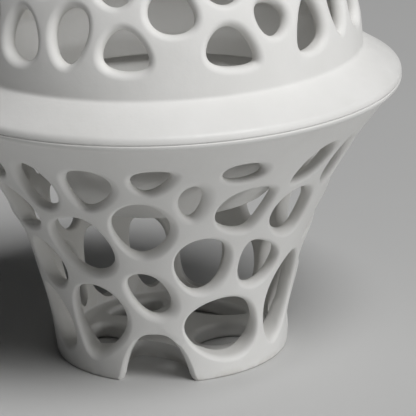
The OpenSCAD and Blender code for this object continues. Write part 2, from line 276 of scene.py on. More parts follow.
# The flare: one arc from foot to neck, and the angle-true chart that unrolls it to a flat ring
CHORD = math.hypot(NECK_R - FOOT_R, NECK_Z)
CENTRE_OFF = math.sqrt(FLARE_R ** 2 - (CHORD / 2) ** 2)
ARC_X = (FOOT_R + NECK_R) / 2 + CENTRE_OFF * NECK_Z / CHORD
ARC_Z = NECK_Z / 2 - CENTRE_OFF * (NECK_R - FOOT_R) / CHORD
CHART_RATE = math.sqrt(ARC_X ** 2 - FLARE_R ** 2) / (2 * FLARE_R)
CHART_RATIO = math.sqrt((ARC_X + FLARE_R) / (ARC_X - FLARE_R))


def turn_at(z, depth=0.0):
    """Angle on the arc at a height, for the face that lies this deep in the wall."""
    return math.asin((z - ARC_Z) / (FLARE_R + depth))


def turn_of(rise):
    """Angle on the arc for a place on the chart."""
    return 2 * math.atan(math.tan(rise * CHART_RATE) / CHART_RATIO)


def rise_at(z, depth=0.0):
    """Place on the chart for a height."""
    return math.atan(CHART_RATIO * math.tan(turn_at(z, depth) / 2)) / CHART_RATE


def wall_r(z, depth=0.0):
    return ARC_X - (FLARE_R + depth) * math.cos(turn_at(z, depth))


def chart_reach(z, depth=0.0):
    """Radius on the flat ring for a height."""
    return math.exp(rise_at(z, depth))


def disc_reach(elevation):
    """Radius on the flat disc that the dome unrolls to."""
    return math.tan((math.pi / 2 - elevation) / 2)


def dome_section(elevation):
    return (DOME_R * math.cos(elevation), DOME_Z + DOME_R * math.sin(elevation))


# Outlines of the cells, in millimetres about each cell's centre

def clipped(polygon, line):
    """Part of a polygon on the near side of a*x + b*y = c."""
    a, b, c = line
    kept = []
    for i, u in enumerate(polygon):
        v = polygon[(i + 1) % len(polygon)]
        off_u, off_v = a * u[0] + b * u[1] - c, a * v[0] + b * v[1] - c
        if off_u <= 0:
            kept.append(u)
        if (off_u < 0) != (off_v < 0):
            s = off_u / (off_u - off_v)
            kept.append((u[0] + (v[0] - u[0]) * s, u[1] + (v[1] - u[1]) * s))
    return kept


def even_steps(points):
    """Closed line through the points, walked in even steps."""
    loop = np.vstack([points, points[:1]])
    along = np.concatenate([[0], np.cumsum(np.linalg.norm(np.diff(loop, axis=0), axis=1))])
    at = np.linspace(0, along[-1], OUTLINE_POINTS, endpoint=False)
    return np.stack([np.interp(at, along, loop[:, k]) for k in (0, 1)], axis=1)


def area_of(outline):
    after = np.roll(outline, -1, axis=0)
    return 0.5 * float(np.sum(outline[:, 0] * after[:, 1] - outline[:, 1] * after[:, 0]))


def soft_outline(lines, easing):
    """Smooth closed outline inside the lines halfway to a cell's neighbours, counter-clockwise."""
    polygon = [(x * CELL_REACH, y * CELL_REACH) for x, y in ((-1, -1), (1, -1), (1, 1), (-1, 1))]
    for line in lines:
        polygon = clipped(polygon, line)
    corners = np.array(polygon)
    s = np.linspace(0, 1, CURVE_STEPS, endpoint=False)[:, None]
    spans = []
    for i in range(len(corners)):
        a, b, c, d = (corners[(i + k) % len(corners)] for k in range(4))
        spans.append((a * (1 - s) ** 3 + b * (3 * s ** 3 - 6 * s ** 2 + 4)
                      + c * (1 + 3 * s + 3 * s ** 2 - 3 * s ** 3) + d * s ** 3) / 6)
    outline = even_steps(np.vstack(spans))
    # Tight bends are eased, and the area is kept.
    area = area_of(outline)
    for _ in range(easing):
        outline = (np.roll(outline, 1, axis=0) + 2 * outline + np.roll(outline, -1, axis=0)) / 4
    middle = outline.mean(axis=0)
    return even_steps(middle + (outline - middle) * math.sqrt(area / area_of(outline)))


def inward(outline, lip=1.0):
    """Steps into the cell, of the lip's length and shorter where a tight bend leaves less room."""
    ahead, behind = np.roll(outline, -1, axis=0), np.roll(outline, 1, axis=0)
    along = ahead - behind
    along /= np.linalg.norm(along, axis=1)[:, None]
    step = np.stack([-along[:, 1], along[:, 0]], axis=1)
    a, b = outline - behind, ahead - outline
    a_length, b_length = np.linalg.norm(a, axis=1), np.linalg.norm(b, axis=1)
    bend = (a[:, 0] * b[:, 1] - a[:, 1] * b[:, 0]) / (a_length * b_length)
    radius = a_length / np.maximum(np.abs(bend), NOTHING)
    return step * min(lip, LIP_SHARE * float(radius.min()) / LIP_WIDTH)


# Cells of the holder

def half_turn(angle):
    """The same angle in degrees, between -180 and 180."""
    return (angle + 180) % 360 - 180


def holder_lines(cell):
    """Lines round a holder cell: the plain bands below and above it, and those halfway to others."""
    azimuth, height, growth = cell
    rise, r = rise_at(height), wall_r(height)
    lines = [(0, -1, (rise - rise_at(FOOT_BAND)) * r + SPREAD),
             (0, 1, (rise_at(NECK_Z - NECK_BAND) - rise) * r + SPREAD)]
    for other in [ARCH_CELL] + HOLDER_CELLS + PLAIN_SPOTS:
        dx = math.radians(half_turn(other[0] - azimuth)) * r
        dy = (rise_at(other[1]) - rise) * r
        away = math.hypot(dx, dy)
        if 0 < away < NEIGHBOUR_REACH:
            lines.append((dx / away, dy / away, away / 2 + (growth - other[2]) / 2 - RIB_TOP / 2))
    return lines


def holder_plane(cell, outline):
    """Outline of a holder cell on the flat ring."""
    r = wall_r(cell[1])
    angle = math.radians(cell[0]) + outline[:, 0] / r
    reach = np.exp(rise_at(cell[1]) + outline[:, 1] / r)
    return np.stack([reach * np.sin(angle), -reach * np.cos(angle)], axis=1)


def holder_heights(cell, outline):
    rise, r = rise_at(cell[1]), wall_r(cell[1])
    return np.array([ARC_Z + FLARE_R * math.sin(turn_of(rise + y / r)) for y in outline[:, 1]])


def holder_room(cell, outline):
    """How much the round at the inner face may open: nothing where a cell comes down to the floor."""
    return np.clip((holder_heights(cell, outline) - FLOOR_T - ROOM_START) / ROOM_OVER, 0, 1)


def holder_lean(cell, outline):
    """How far each point of a cell moves aside and up between the outer and the inner face."""
    azimuths = cell[0] + np.degrees(outline[:, 0] / wall_r(cell[1]))
    aside = np.interp(half_turn(azimuths), *zip(*CELL_SLANT))
    drop = np.interp(holder_heights(cell, outline), *zip(*CELL_DROP))
    return np.stack([aside, -drop], axis=1)


def holder_lip(cell):
    """How many times the usual width a cell's lip has."""
    return BROAD_LIPS.get(cell[:2], float(np.interp(cell[1], *zip(*LIP_GROWTH))))


def floor_lines(cell):
    """Lines round a floor cell: the sides of the floor's edge, and those halfway to others."""
    lines = []
    for k in range(FLOOR_SIDES):
        turn = 2 * math.pi * k / FLOOR_SIDES
        a, b = math.sin(turn), math.cos(turn)
        lines.append((a, b, FLOOR_EDGE - a * cell[0] - b * cell[1]))
    for other in [BITE_CELL, FLOOR_SPOT] + FLOOR_CELLS:
        dx, dy = other[0] - cell[0], other[1] - cell[1]
        away = math.hypot(dx, dy)
        if away:
            lines.append((dx / away, dy / away, (away + cell[2] - other[2] - FLOOR_RIB) / 2))
    return lines


# Cells of the dome

def sphere_axes(cell):
    """Directions at a dome cell: out of the dome, along it to the right and up it."""
    a, e = math.radians(cell[0]), math.radians(cell[1])
    out = np.array([math.cos(e) * math.sin(a), -math.cos(e) * math.cos(a), math.sin(e)])
    east = np.array([math.cos(a), math.sin(a), 0.0])
    north = np.array([-math.sin(e) * math.sin(a), math.sin(e) * math.cos(a), math.cos(e)])
    return out, east, north


def dome_lines(cell):
    """Lines round a dome cell: the plain band below it, and those halfway to others on its side."""
    out, east, north = sphere_axes(cell)
    lines = [(0, -1, DOME_R * math.radians(cell[1] - DOME_BAND) + SPREAD)]
    for other in DOME_CELLS + DOME_SPOTS:
        spot = sphere_axes(other)[0]
        aside = np.array([east @ spot, north @ spot])
        away = float(np.hypot(*aside))
        if away > NOTHING and out @ spot > DOME_NEIGHBOUR:
            reach = (1 - out @ spot) / away * DOME_R + (cell[2] - other[2]) / 2 - RIB_TOP / 2
            lines.append((aside[0] / away, aside[1] / away, float(reach)))
    return lines


def dome_plane(cell, outline):
    """Outline of a dome cell on the flat disc."""
    out, east, north = sphere_axes(cell)
    spots = out * DOME_R + outline[:, :1] * east + outline[:, 1:] * north
    spots /= np.linalg.norm(spots, axis=1)[:, None]
    return spots[:, :2] / (1 + spots[:, 2:])


def dome_room(cell, outline):
    """The round at the inner face opens fully all over the dome."""
    return np.ones(len(outline))


def dome_lean(cell, outline):
    """The dome's cells go straight in."""
    return np.zeros((len(outline), 2))


def dome_lip(cell):
    """The dome's lips all have one width."""
    return 1.0


# The plan of a pierced wall: closed outlines on its flat chart

# A wall's cells, what gives a cell's lines, flat outline, inner room, lean and lip, and its easing
Pattern = namedtuple("Pattern", "cells lines plane room lean lip easing")
HOLDER_PATTERN = Pattern(
    HOLDER_CELLS, holder_lines, holder_plane, holder_room, holder_lean, holder_lip, HOLDER_EASING)
DOME_PATTERN = Pattern(
    DOME_CELLS, dome_lines, dome_plane, dome_room, dome_lean, dome_lip, DOME_EASING)

CELL, OUTER_RIM, INNER_RIM = 0, 1, 2
# Small step by which directions are carried over to the flat chart, in millimetres
NUDGE = 0.01
# Name under which a pierced wall keeps how far in each point lies: 0 at the outer face, 1 at the inner
RECESS = "recess"


def plan_mesh(name, pattern, outer_rims, inner_rims):
    """Outlines of the cells and rims as loose loops, with what a node tree needs of each point."""
    points, steps, leans, rooms, kinds, edges = [], [], [], [], [], []

    def add_loop(outline, step, lean, room, kind):
        first, count = len(points), len(outline)
        for flat, rows in ((outline, points), (step, steps), (lean, leans)):
            rows.extend((x, y, 0.0) for x, y in flat)
        rooms.extend(room)
        kinds.extend([kind] * count)
        edges.extend((first + i, first + (i + 1) % count) for i in range(count))

    for cell in pattern.cells:
        outline = soft_outline(pattern.lines(cell), ROUND_CELLS.get(cell[:2], pattern.easing))
        flat = pattern.plane(cell, outline)
        step = inward(outline, pattern.lip(cell))
        step = (pattern.plane(cell, outline + step * NUDGE) - flat) / NUDGE
        lean = pattern.lean(cell, outline)
        lean = (pattern.plane(cell, outline + lean * NUDGE) - flat) / NUDGE
        add_loop(flat, step, lean, pattern.room(cell, outline), CELL)
    turn = np.arange(RING_POINTS) * 2 * math.pi / RING_POINTS
    circle = np.stack([np.sin(turn), -np.cos(turn)], axis=1)
    still = np.zeros_like(circle)
    for reaches, kind in ((outer_rims, OUTER_RIM), (inner_rims, INNER_RIM)):
        for reach in reaches:
            add_loop(circle * reach, still, still, still[:, 0], kind)
    mesh = bpy.data.meshes.new(name)
    mesh.from_pydata(points, edges, [])
    for label, sort, field, values in (
            ("inward", "FLOAT_VECTOR", "vector", np.ravel(steps)),
            ("lean", "FLOAT_VECTOR", "vector", np.ravel(leans)),
            ("inner_room", "FLOAT", "value", rooms),
            ("ring_kind", "INT", "value", kinds)):
        mesh.attributes.new(label, sort, "POINT").data.foreach_set(field, values)
    return mesh


# Node trees

class Wiring:
    """Adds nodes to a tree and links them in order."""

    def __init__(self, tree):
        self.tree = tree

    def node(self, kind, inputs=(), **options):
        made = self.tree.nodes.new(kind)
        for key, value in options.items():
            setattr(made, key, value)
        for socket, value in (inputs.items() if isinstance(inputs, dict) else enumerate(inputs)):
            self.plug(made.inputs[socket], value)
        return made

    def first(self, kind, inputs=(), **options):
        """First output of a new node."""
        return self.node(kind, inputs, **options).outputs[0]

    def plug(self, socket, value):
        if isinstance(value, bpy.types.NodeSocket):
            self.tree.links.new(value, socket)
        else:
            socket.default_value = value

    def math(self, operation, *values, clamp=False):
        return self.first("ShaderNodeMath", values, operation=operation, use_clamp=clamp)

    def vector(self, operation, *values):
        return self.node("ShaderNodeVectorMath", values, operation=operation)

    def added(self, *vectors):
        return self.vector("ADD", *vectors).outputs[0]

    def scaled(self, vector, amount):
        return self.first("ShaderNodeVectorMath", {0: vector, "Scale": amount}, operation="SCALE")

    def split(self, place):
        return self.node("ShaderNodeSeparateXYZ", [place]).outputs

    def joined(self, *parts):
        return self.first("ShaderNodeCombineXYZ", parts)

    def from_axis(self, spot):
        """Distance of a split place from the Z axis."""
        return self.vector("LENGTH", self.joined(spot[0], spot[1])).outputs["Value"]

    def ranged(self, value, low, high, start, end):
        return self.first("ShaderNodeMapRange", [value, low, high, start, end])

    def noise(self, place, scale, detail, roughness):
        return self.first("ShaderNodeTexNoise", {
            "Vector": place, "Scale": scale, "Detail": detail, "Roughness": roughness})

    def attribute(self, name, data_type):
        return self.first("GeometryNodeInputNamedAttribute", {"Name": name}, data_type=data_type)

    def together(self, *parts):
        made = self.node("GeometryNodeJoinGeometry")
        for part in parts:
            self.plug(made.inputs[0], part)
        return made.outputs[0]

    def moved(self, geometry, **where):
        return self.first("GeometryNodeSetPosition", {"Geometry": geometry, **where})

    def captured(self, geometry, sort, name, value):
        """Geometry that carries a value along, and that value."""
        made = self.node("GeometryNodeCaptureAttribute")
        made.capture_items.new(sort, name)
        self.plug(made.inputs[0], geometry)
        self.plug(made.inputs[1], value)
        return made.outputs[0], made.outputs[1]

    def stored(self, geometry, name, value):
        return self.first("GeometryNodeStoreNamedAttribute", {
            "Geometry": geometry, "Name": name, "Value": value}, data_type="FLOAT", domain="POINT")


def bend_to_flare(wire, size, place):
    """Flat ring to the flared wall, with Z of the plan as depth into the wall."""
    spot = wire.split(place)
    reach = wire.from_axis(spot)
    rise = wire.math("LOGARITHM", reach, math.e)
    half = wire.math("TANGENT", wire.math("MULTIPLY", rise, size["Chart rate"]))
    half = wire.math("ARCTANGENT", wire.math("DIVIDE", half, size["Chart ratio"]))
    turn = wire.math("MULTIPLY", half, 2.0)
    arm = wire.math("ADD", size["Flare radius"], spot[2])
    inset = wire.math("MULTIPLY", arm, wire.math("COSINE", turn))
    radius = wire.math("SUBTRACT", size["Arc distance"], inset)
    lift = wire.math("MULTIPLY", arm, wire.math("SINE", turn))
    height = wire.math("ADD", size["Arc height"], lift)
    spread = wire.math("DIVIDE", radius, reach)
    return wire.joined(
        wire.math("MULTIPLY", spot[0], spread), wire.math("MULTIPLY", spot[1], spread), height)


def bend_to_dome(wire, size, place):
    """Flat disc to the dome, with Z of the plan as depth into the wall."""
    spot = wire.split(place)
    flat = wire.joined(spot[0], spot[1])
    square = wire.vector("DOT_PRODUCT", flat, flat).outputs["Value"]
    radius = wire.math("SUBTRACT", size["Dome radius"], spot[2])
    spread = wire.math("DIVIDE", radius, wire.math("ADD", square, 1.0))
    twice = wire.math("MULTIPLY", spread, 2.0)
    lift = wire.math("MULTIPLY", wire.math("SUBTRACT", 1.0, square), spread)
    height = wire.math("ADD", size["Dome height"], lift)
    return wire.joined(
        wire.math("MULTIPLY", spot[0], twice), wire.math("MULTIPLY", spot[1], twice), height)


def openwork_tree(name, bend, sizes, finish):
    """Pierced wall from a plan: ribs on both faces, and a rolled lip round each cell."""
    tree = bpy.data.node_groups.new(name, "GeometryNodeTree")
    tree.interface.new_socket("Plan", in_out="INPUT", socket_type="NodeSocketGeometry")
    tree.interface.new_socket("Openwork", in_out="OUTPUT", socket_type="NodeSocketGeometry")
    for label, value in sizes.items():
        socket = tree.interface.new_socket(label, in_out="INPUT", socket_type="NodeSocketFloat")
        socket.default_value = value
    wire = Wiring(tree)
    entry = wire.node("NodeGroupInput")
    size = {label: entry.outputs[label] for label in sizes}
    kind = wire.attribute("ring_kind", "INT")
    into = wire.attribute("inward", "FLOAT_VECTOR")
    lean = wire.attribute("lean", "FLOAT_VECTOR")
    opened = wire.math("MULTIPLY", size["Inner width"], wire.attribute("inner_room", "FLOAT"))
    here = wire.first("GeometryNodeInputPosition")

    def rims(which):
        same = wire.first("FunctionNodeCompare", {2: kind, 3: which}, data_type="INT", operation="EQUAL")
        part = wire.first("GeometryNodeSeparateGeometry", [entry.outputs["Plan"], same], domain="POINT")
        return wire.first("GeometryNodeMeshToCurve", [part])

    def ribs(cells, rim, depth):
        skin = wire.first("GeometryNodeFillCurve", [wire.together(cells, rim)], mode="TRIANGLES")
        return wire.moved(skin, Offset=wire.joined(0.0, 0.0, depth))

    def thickness(place):
        """The plain wall's thickness, less towards the middle of the openwork."""
        reach = wire.from_axis(wire.split(place))
        slim = size["Slimmer"]
        for none, full in (("Slim from", "Slim full"), ("Slim to", "Slim last")):
            slim = wire.ranged(reach, size[none], size[full], 0.0, slim)
        return wire.math("SUBTRACT", size["Wall thickness"], slim)

    # Inner outlines, where the lips end
    cells = rims(CELL)
    ended = wire.added(wire.scaled(into, wire.math("SUBTRACT", size["Lip width"], opened)), lean)
    inner = wire.moved(cells, Offset=ended)
    # Lip profile: a quarter round from the outer face, a straight step and a quarter round to the inner
    spine = wire.first("GeometryNodeMeshLine", {"Count": LIP_STEPS + 1 + EDGE_STEPS + 1})
    spine = wire.first("GeometryNodeMeshToCurve", [spine])
    spine, step = wire.captured(spine, "INT", "step", wire.first("GeometryNodeInputIndex"))
    rail, outline = wire.captured(cells, "VECTOR", "outline", here)
    strips = wire.first("GeometryNodeCurveToMesh", [rail, spine])
    quarter = math.pi / 2
    roll = wire.math("MULTIPLY", wire.math("DIVIDE", step, float(LIP_STEPS), clamp=True), quarter)
    past = wire.math("SUBTRACT", step, float(LIP_STEPS), clamp=True)
    edge = wire.math("SUBTRACT", step, LIP_STEPS + 1.0)
    edge = wire.math("MULTIPLY", wire.math("DIVIDE", edge, float(EDGE_STEPS), clamp=True), quarter)
    # How far each step of it moves into the cell
    into_cell = wire.math("MULTIPLY", size["Lip width"], wire.math("SINE", roll))
    back = wire.math("MULTIPLY", opened, wire.math("SUBTRACT", 1.0, wire.math("COSINE", edge)))
    across = wire.math("SUBTRACT", into_cell, back)
    # How deep it lies in the wall, also as a share of the thickness
    thick = thickness(wire.added(outline, ended))
    plain = wire.math("SUBTRACT", thick, size["Lip depth"])
    plain = wire.math("SUBTRACT", plain, size["Inner depth"])
    rolled = wire.math("SUBTRACT", 1.0, wire.math("COSINE", roll))
    depth = wire.math("ADD", wire.math("MULTIPLY", size["Lip depth"], rolled),
                      wire.math("MULTIPLY", plain, past))
    depth = wire.math("ADD", depth, wire.math("MULTIPLY", size["Inner depth"], wire.math("SINE", edge)))
    share = wire.math("DIVIDE", depth, thick)
    shift = wire.added(wire.scaled(into, across), wire.scaled(lean, share))
    shift = wire.added(shift, wire.joined(0.0, 0.0, depth))
    strips = wire.moved(strips, Position=wire.added(outline, shift))
    strips = wire.stored(strips, RECESS, share)
    back_ribs = wire.stored(ribs(inner, rims(INNER_RIM), thickness(here)), RECESS, 1.0)
    # The flat wall is whole here, and is bent to its form.
    whole = wire.together(ribs(cells, rims(OUTER_RIM), 0.0), strips, back_ribs)
    bent = wire.moved(whole, Position=wire.scaled(bend(wire, size, here), MM))
    welded = wire.first("GeometryNodeMergeByDistance", {"Geometry": bent, "Distance": FINE_WELD})
    real = wire.first("GeometryNodeRealizeInstances", [welded])
    dressed = wire.first("GeometryNodeSetMaterial", {"Geometry": real, "Material": finish})
    wire.node("NodeGroupOutput", [dressed])
    return tree


def placed(name, data):
    """New object at the origin."""
    made = bpy.data.objects.new(name, data)
    bpy.context.scene.collection.objects.link(made)
    return made


def applied(carrier, modifier):
    """Plain mesh of an object with its modifier, which is then removed."""
    graph = bpy.context.evaluated_depsgraph_get()
    mesh = bpy.data.meshes.new_from_object(carrier.evaluated_get(graph), depsgraph=graph)
    carrier.modifiers.remove(modifier)
    return mesh


def grown_mesh(plan, tree, sizes):
    """Runs a tree on a plan and gives the result as a mesh to work on."""
    carrier = placed(plan.name, plan)
    modifier = carrier.modifiers.new("openwork", "NODES")
    modifier.node_group = tree
    for item in tree.interface.items_tree:
        if item.in_out == "INPUT" and item.name in sizes:
            modifier[item.identifier] = sizes[item.name]
    grown = bmesh.new()
    grown.from_mesh(applied(carrier, modifier))
    bpy.data.objects.remove(carrier)
    return grown


# Turned and cut parts

def eased(profile, steps=ROUND_STEPS):
    """Half section with its corners rounded: each point is (radius, height, reach of its round)."""
    soft = []
    for i, (r, z, reach) in enumerate(profile):
        here = Vector((r, z))
        if reach and 0 < i < len(profile) - 1:
            before, after = (Vector(profile[k][:2]) for k in (i - 1, i + 1))
            a = here + (before - here).normalized() * reach
            b = here + (after - here).normalized() * reach
            for k in range(steps + 1):
                s = k / steps
                soft.append(tuple(a * (1 - s) ** 2 + here * 2 * s * (1 - s) + b * s ** 2))
        else:
            soft.append((r, z))
    return soft


def turned(bm, profile):
    """Adds a half section, turned about the axis, to a mesh."""
    turns = [2 * math.pi * i / RING_POINTS for i in range(RING_POINTS)]
    rings = []
    for r, z in profile:
        around = turns if r > 0 else turns[:1]
        spots = [(r * math.sin(turn) * MM, -r * math.cos(turn) * MM, z * MM) for turn in around]
        rings.append([bm.verts.new(spot) for spot in spots])
    for low, high in zip(rings, rings[1:]):
        for i in range(RING_POINTS):
            j = (i + 1) % RING_POINTS
            corners = [low[i % len(low)], low[j % len(low)], high[j % len(high)], high[i % len(high)]]
            bm.faces.new(list(dict.fromkeys(corners)))


def lofted(bm, rings):
    """Adds a closed skin through rings of equal length to a mesh."""
    rings = [[bm.verts.new(Vector(place) * MM) for place in ring] for ring in rings]
    count = len(rings[0])
    for low, high in zip(rings, rings[1:]):
        for i in range(count):
            j = (i + 1) % count
            bm.faces.new((low[i], low[j], high[j], high[i]))
    bm.faces.new(rings[0])
    bm.faces.new(rings[-1])


# Name of the mark on the faces that a cutter leaves
CUT_MARK = "cut"


def cut_away(bm, cutter):
    """The mesh with the cutter's room taken out of it, and the faces that the cutter left marked."""
    bmesh.ops.remove_doubles(bm, verts=bm.verts, dist=WELD)
    pair = []
    for name, part, mark in (("solid", bm, 0), ("cutter", cutter, 1)):
        bmesh.ops.recalc_face_normals(part, faces=part.faces)
        layer = part.faces.layers.int.new(CUT_MARK)
        for face in part.faces:
            face[layer] = mark
        mesh = bpy.data.meshes.new(name)
        part.to_mesh(mesh)
        part.free()
        pair.append(placed(name, mesh))
    solid, tool = pair
    modifier = solid.modifiers.new("cut", "BOOLEAN")
    modifier.operation = "DIFFERENCE"
    modifier.solver = "MANIFOLD"
    modifier.object = tool
    left = bmesh.new()
    left.from_mesh(applied(solid, modifier))
    for part in pair:
        bpy.data.objects.remove(part)
    return left


def finished(name, bm, body, node, finish):
    """Welds a mesh, turns its faces outwards, shades it and gives it to the frame."""
    bmesh.ops.remove_doubles(bm, verts=bm.verts, dist=WELD)
    bmesh.ops.recalc_face_normals(bm, faces=bm.faces)
    for face in bm.faces:
        face.smooth = True
    layer = bm.faces.layers.int.get(CUT_MARK) or bm.faces.layers.int.new(CUT_MARK)
    for edge in bm.edges:
        one_kind = len({face[layer] for face in edge.link_faces}) == 1
        edge.smooth = one_kind and edge.calc_face_angle() < CRISP
    bm.faces.layers.int.remove(layer)
    mesh = bpy.data.meshes.new(name)
    bm.to_mesh(mesh)
    bm.free()
    mesh.materials.clear()
    mesh.materials.append(finish)
    piece = placed(name, mesh)
    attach(piece, body)
    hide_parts(node)


def arch_outline():
    """Closed outline of the arch, counter-clockwise, with a round bottom below the table."""
    outline = []
    count = 4 * OUTLINE_POINTS
    for k in range(count):
        turn = 2 * math.pi * k / count
        across, up = math.cos(turn), math.sin(turn)
        power, tall = (2 / ARCH_SQUARE, ARCH_TOP) if up > 0 else (1, ARCH_BELOW)
        z = math.copysign(abs(up) ** power, up) * tall
        feet = ARCH_SPREAD * min(max(1 - z / ARCH_FEET, 0), 1) ** 2
        half = ARCH_HALF - ARCH_LEAN * max(z, 0) + feet
        outline.append((math.copysign(abs(across) ** power, across) * half, z))
    return even_steps(np.array(outline))


def quarter_turns():
    return [k * math.pi / 2 / EDGE_STEPS for k in range(EDGE_STEPS + 1)]


def arch_rings():
    """The arch: a rounded edge through the wall, then the round floor cell that goes on from it."""
    outline = arch_outline()
    step = inward(outline)
    sections = [(depth, outline - step * ARCH_WIDER) for depth in ARCH_OUTSIDE]
    for turn in quarter_turns()[1:]:
        depth = ARCH_EDGE_DEPTH * (1 - math.cos(turn))
        sections.append((depth, outline + step * (ARCH_EDGE_WIDTH * math.sin(turn))))
    straight = sections[-1][1]
    for k in range(1, BITE_STEPS + 1):
        # Half a step is left at the end, so that the last ring still has a width.
        way = math.sin(math.pi / 2 * k / (BITE_STEPS + 0.5))
        depth = ARCH_EDGE_DEPTH + (BITE_DEPTH - ARCH_EDGE_DEPTH) * way
        narrow = (1 - (depth / BITE_DEPTH) ** BITE_SQUARE) ** (1 / BITE_SQUARE)
        narrow *= (FOOT_R - ARCH_EDGE_DEPTH) / (FOOT_R - depth)
        sections.append((depth, straight * (narrow, 1)))
    for depth, section in sections:
        lean = BITE_LEAN * max(depth / BITE_DEPTH, 0) ** BITE_LATE / (FOOT_R - depth)
        arm = FLARE_R + depth
        ring = []
        for x, y in section:
            angle, turn = math.radians(ARCH_CELL[0]) + x / FOOT_R + lean, turn_at(y)
            r, z = ARC_X - arm * math.cos(turn), ARC_Z + arm * math.sin(turn)
            ring.append((r * math.sin(angle), -r * math.cos(angle), z))
        yield ring


def floor_rings(cell):
    """A cell of the floor, with both of its edges rounded."""
    outline = soft_outline(floor_lines(cell), FLOOR_EASING)
    out = -inward(outline)
    levels = [(-FLOOR_PROUD, FLOOR_ROUND + FLOOR_PROUD)]
    for turn in quarter_turns():
        levels.append((FLOOR_ROUND * (1 - math.cos(turn)), FLOOR_ROUND * (1 - math.sin(turn))))
    levels += [(FLOOR_T - z, wider) for z, wider in reversed(levels)]
    for z, wider in levels:
        section = outline + out * (wider - FLOOR_ROUND / 2)
        yield [(cell[0] + x, cell[1] + y, z) for x, y in section]


# Materials

def blank_finish(name):
    finish = bpy.data.materials.new(name)
    finish.use_nodes = True
    finish.node_tree.nodes.clear()
    return finish, Wiring(finish.node_tree)


def colour_ramp(wire, amount, stops):
    ramp = wire.node("ShaderNodeValToRGB", [amount])
    for element, (spot, colour) in zip(ramp.color_ramp.elements, stops):
        element.position = spot
        element.color = (*colour, 1.0)
    return ramp.outputs["Color"]


def bisque_finish():
    """White unglazed ceramic: clouded and sandy, with painted shade darker and warmer deeper in the
    cells, duller in the cells, worn at rim and foot.
    """
    finish, wire = blank_finish("bisque")
    place = wire.node("ShaderNodeTexCoord").outputs["Object"]

    def tinted(amount, colour, tint):
        mix = wire.node("ShaderNodeMix", {0: amount, 6: colour, 7: (*tint, 1.0)},
                        data_type="RGBA", blend_type="MULTIPLY")
        return mix.outputs[2]

    grain, marks, clouds = (wire.noise(place, *fineness) for fineness in (GRAIN, MARKS, CLOUDS))
    recess = wire.node("ShaderNodeAttribute", attribute_name=RECESS).outputs["Fac"]
    spot = wire.split(place)
    off_rim = wire.math("ABSOLUTE", wire.math("SUBTRACT", spot[2], BRIM_Z * MM))
    rim = wire.math("MULTIPLY", wire.ranged(off_rim, *RIM_FADE),
                    wire.ranged(wire.from_axis(spot), *RIM_REACH))
    scuffs = wire.math("MULTIPLY", wire.ranged(spot[2], *SCUFF_FADE), wire.ranged(marks, *SCUFF_MARKS))
    body = colour_ramp(wire, clouds, BODY_COLOURS)
    # Painted shade: the colour turns darker and warmer towards the inner face of the pierced walls, in
    # the cells and on the back ribs
    body = tinted(recess, body, PAINTED_CELL_SHADE)
    body = tinted(scuffs, body, SCUFF_TINT)
    rough = wire.math("ADD", wire.ranged(marks, *ROUGHNESS), wire.math("MULTIPLY", recess, CELL_DULL))
    rough = wire.math("SUBTRACT", rough, wire.math("MULTIPLY", rim, RIM_POLISH))
    strength, height = GRAIN_BUMP
    sandy = wire.first("ShaderNodeBump", {"Height": grain, "Strength": strength, "Distance": height})
    strength, height = MARK_BUMP
    shaped = wire.first("ShaderNodeBump", {
        "Height": marks, "Strength": strength, "Distance": height, "Normal": sandy})
    shader = wire.first("ShaderNodeBsdfPrincipled", {
        "Base Color": body, "Roughness": rough, "Normal": shaped, "Specular IOR Level": GLOSS})
    wire.node("ShaderNodeOutputMaterial", [shader])
    return finish


def table_finish():
    """Pale matt table."""
    finish, wire = blank_finish("table")
    place = wire.node("ShaderNodeTexCoord").outputs["Object"]
    pale = colour_ramp(wire, wire.noise(place, *TABLE_CLOUDS), TABLE_COLOURS)
    wire.node("ShaderNodeOutputMaterial", [wire.first("ShaderNodeBsdfDiffuse", [pale])])
    return finish


bisque = bisque_finish()

# Holder: pierced wall, foot, floor, and the mouth with the ledge and the lip
FLARE_SIZES = {
    "Wall thickness": WALL_T, "Lip width": LIP_WIDTH, "Lip depth": LIP_DEPTH,
    "Inner width": INNER_WIDTH, "Inner depth": INNER_DEPTH,
    "Flare radius": FLARE_R, "Arc distance": ARC_X, "Arc height": ARC_Z,
    "Chart rate": CHART_RATE, "Chart ratio": CHART_RATIO, "Slimmer": SLIM,
    **{label: chart_reach(z, WALL_T) for label, z in SLIM_HEIGHTS.items()},
}
floor_r = wall_r(FLOOR_T, WALL_T)
floor_top, mouth_low = FLOOR_T + FLOOR_EASE, LEDGE_Z - MOUTH_EASE
foot_profile = [
    (wall_r(FOOT_EASE), FOOT_EASE, 0), (FOOT_R, 0, 0.35), (FOOT_MID_R, 0, 0), (MID_R, 0, 0),
    (0, 0, 0),
]
floor_profile = [
    (0, FLOOR_T, 0), (MID_R, FLOOR_T, 0), (floor_r - 1.5, FLOOR_T, 0), (floor_r, FLOOR_T, 0.3),
    (wall_r(floor_top, WALL_T), floor_top, 0),
]
mouth_profile = [
    (NECK_R, NECK_Z, 0), (NECK_R + 0.55, NECK_Z + 0.45, 0.3), (LIP_R, NECK_Z + 0.85, 0.45),
    (LIP_R, HOLDER_H, 0.22), (SEAT_R, HOLDER_H, 0.2),
    (SEAT_R, LEDGE_Z, 0.15), (wall_r(LEDGE_Z, WALL_T), LEDGE_Z, 0.3),
    (wall_r(mouth_low, WALL_T), mouth_low, 0),
]
holder_plan = plan_mesh(
    "holder_plan", HOLDER_PATTERN, [chart_reach(FOOT_EASE), chart_reach(NECK_Z)],
    [chart_reach(floor_top, WALL_T), chart_reach(mouth_low, WALL_T)])
flare_tree = openwork_tree("openwork_flare", bend_to_flare, FLARE_SIZES, bisque)
holder = grown_mesh(holder_plan, flare_tree, FLARE_SIZES)
for profile in (foot_profile, floor_profile, mouth_profile):
    turned(holder, eased(profile))
cutter = bmesh.new()
lofted(cutter, arch_rings())
for cell in FLOOR_CELLS:
    lofted(cutter, floor_rings(cell))
